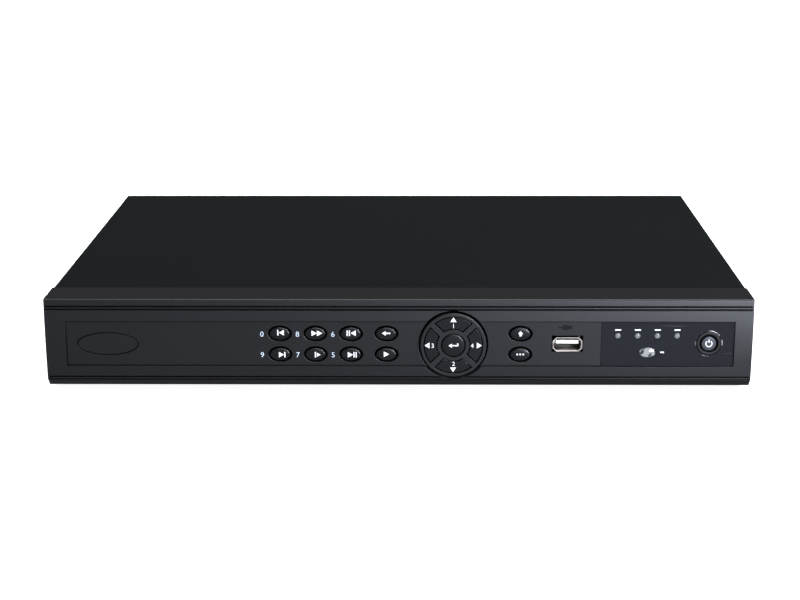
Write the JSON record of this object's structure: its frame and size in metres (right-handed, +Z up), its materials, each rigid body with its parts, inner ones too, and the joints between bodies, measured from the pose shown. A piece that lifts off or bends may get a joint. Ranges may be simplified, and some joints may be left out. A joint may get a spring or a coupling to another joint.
{
  "type": "desktop video recorder",
  "caption": "Flat desktop video recorder: black steel case, moulded front with sprung keys, navigation pad, power button and indicator window, sockets and fan at the back.",
  "frame": {"origin": "centre of the whole object's footprint, on the plane of the feet", "axes": "+X to the right, +Y from the front to the back, +Z up; the keys face -Y"},
  "size_m": [0.36, 0.254, 0.0505],
  "materials": {
    "moulded_abs": "fine-textured moulding",
    "window_acrylic": "glossy dark plate",
    "pad_abs": "satin moulding",
    "ring_abs": "satin moulding",
    "key_abs": "satin moulding",
    "power_key_abs": "satin moulding",
    "green_board": "solder mask",
    "screw_steel": "zinc plated",
    "screw_black": "black oxide",
    "switch_plastic": "moulded",
    "lamp_plastic": "diffused epoxy",
    "lamp_dark": "dark epoxy",
    "smoked_lens": "moulded lens",
    "nickel_plate": "nickel plated",
    "socket_plastic": "moulded",
    "socket_black": "moulded",
    "insert_blue": "moulded",
    "terminal_green": "moulded",
    "zinc_steel": "black powder coat",
    "painted_steel": "black powder coat",
    "foot_rubber": "moulded rubber",
    "cast_alloy": "die cast",
    "disk_steel": "brushed",
    "chip_epoxy": "moulded epoxy",
    "black_aluminium": "black anodised",
    "capacitor_can": "drawn can",
    "cell_steel": "brushed",
    "header_nylon": "moulded nylon",
    "cable_red": "sleeve",
    "cable_black": "sleeve",
    "ribbon_grey": "flat cable",
    "fan_plastic": "moulded"
  },
  "bodies": {
    "case": {"front_bezel": "moulded_abs", "display_window": "window_acrylic", "nav_ring": "pad_abs", "power_ring": "ring_abs", "key_board": "green_board", "key_board_screws": "screw_steel", "tact_switches": "switch_plastic", "status_leds": "lamp_plastic", "ir_lens": "smoked_lens", "ir_receiver": "lamp_dark", "front_usb_shell": "nickel_plate", "front_usb_tongue": "socket_plastic", "chassis_tray": "zinc_steel", "top_cover": "painted_steel", "rubber_feet": "foot_rubber", "case_screws": "screw_steel", "side_screws": "screw_black", "long_screws": "screw_steel", "disk_base": "cast_alloy", "disk_lid": "disk_steel", "disk_board": "green_board", "main_board": "green_board", "board_chips": "chip_epoxy", "heat_sink": "black_aluminium", "board_capacitors": "capacitor_can", "battery_holder": "socket_black", "clock_battery": "cell_steel", "board_headers": "header_nylon", "disk_data_cable": "cable_red", "power_leads": "cable_black", "key_ribbon_cable": "ribbon_grey", "socket_housings": "socket_black", "video_sockets": "nickel_plate", "video_socket_inserts": "socket_plastic", "audio_sockets": "nickel_plate", "vga_socket": "nickel_plate", "vga_insert": "insert_blue", "hdmi_socket": "nickel_plate", "network_socket": "nickel_plate", "rear_usb_sockets": "nickel_plate", "terminal_block": "terminal_green", "dc_jack": "socket_black", "fan_frame": "fan_plastic"},
    "key_0": {"key_0": "key_abs"},
    "key_8": {"key_8": "key_abs"},
    "key_6": {"key_6": "key_abs"},
    "key_9": {"key_9": "key_abs"},
    "key_7": {"key_7": "key_abs"},
    "key_5": {"key_5": "key_abs"},
    "key_esc": {"key_esc": "key_abs"},
    "key_play": {"key_play": "key_abs"},
    "key_shift": {"key_shift": "key_abs"},
    "key_fn": {"key_fn": "key_abs"},
    "nav_up": {"nav_up": "key_abs"},
    "nav_right": {"nav_right": "key_abs"},
    "nav_down": {"nav_down": "key_abs"},
    "nav_left": {"nav_left": "key_abs"},
    "key_enter": {"key_enter": "key_abs"},
    "power_button": {"power_button": "power_key_abs"},
    "fan_rotor": {"fan_rotor": "fan_plastic"}
  },
  "joints": [
    {"name": "key_0_press", "type": "slide", "parent": "case", "child": "key_0", "axis": [0, 1, 0], "range_m": [0, 0.0006], "stiffness_N_per_m": 400, "springref_m": -0.0005},
    {"name": "key_8_press", "type": "slide", "parent": "case", "child": "key_8", "axis": [0, 1, 0], "range_m": [0, 0.0006], "stiffness_N_per_m": 400, "springref_m": -0.0005},
    {"name": "key_6_press", "type": "slide", "parent": "case", "child": "key_6", "axis": [0, 1, 0], "range_m": [0, 0.0006], "stiffness_N_per_m": 400, "springref_m": -0.0005},
    {"name": "key_9_press", "type": "slide", "parent": "case", "child": "key_9", "axis": [0, 1, 0], "range_m": [0, 0.0006], "stiffness_N_per_m": 400, "springref_m": -0.0005},
    {"name": "key_7_press", "type": "slide", "parent": "case", "child": "key_7", "axis": [0, 1, 0], "range_m": [0, 0.0006], "stiffness_N_per_m": 400, "springref_m": -0.0005},
    {"name": "key_5_press", "type": "slide", "parent": "case", "child": "key_5", "axis": [0, 1, 0], "range_m": [0, 0.0006], "stiffness_N_per_m": 400, "springref_m": -0.0005},
    {"name": "key_esc_press", "type": "slide", "parent": "case", "child": "key_esc", "axis": [0, 1, 0], "range_m": [0, 0.0006], "stiffness_N_per_m": 400, "springref_m": -0.0005},
    {"name": "key_play_press", "type": "slide", "parent": "case", "child": "key_play", "axis": [0, 1, 0], "range_m": [0, 0.0006], "stiffness_N_per_m": 400, "springref_m": -0.0005},
    {"name": "key_shift_press", "type": "slide", "parent": "case", "child": "key_shift", "axis": [0, 1, 0], "range_m": [0, 0.0006], "stiffness_N_per_m": 400, "springref_m": -0.0005},
    {"name": "key_fn_press", "type": "slide", "parent": "case", "child": "key_fn", "axis": [0, 1, 0], "range_m": [0, 0.0006], "stiffness_N_per_m": 400, "springref_m": -0.0005},
    {"name": "nav_up_press", "type": "slide", "parent": "case", "child": "nav_up", "axis": [0, 1, 0], "range_m": [0, 0.0006], "stiffness_N_per_m": 400, "springref_m": -0.0005},
    {"name": "nav_right_press", "type": "slide", "parent": "case", "child": "nav_right", "axis": [0, 1, 0], "range_m": [0, 0.0006], "stiffness_N_per_m": 400, "springref_m": -0.0005},
    {"name": "nav_down_press", "type": "slide", "parent": "case", "child": "nav_down", "axis": [0, 1, 0], "range_m": [0, 0.0006], "stiffness_N_per_m": 400, "springref_m": -0.0005},
    {"name": "nav_left_press", "type": "slide", "parent": "case", "child": "nav_left", "axis": [0, 1, 0], "range_m": [0, 0.0006], "stiffness_N_per_m": 400, "springref_m": -0.0005},
    {"name": "key_enter_press", "type": "slide", "parent": "case", "child": "key_enter", "axis": [0, 1, 0], "range_m": [0, 0.0006], "stiffness_N_per_m": 400, "springref_m": -0.0005},
    {"name": "power_button_press", "type": "slide", "parent": "case", "child": "power_button", "axis": [0, 1, 0], "range_m": [0, 0.0008], "stiffness_N_per_m": 400, "springref_m": -0.0005},
    {"name": "fan_spin", "type": "hinge", "parent": "case", "child": "fan_rotor", "pos_m": [-0.1187, 0.108, 0.0254], "axis": [0, 1, 0], "continuous": true}
  ]
}
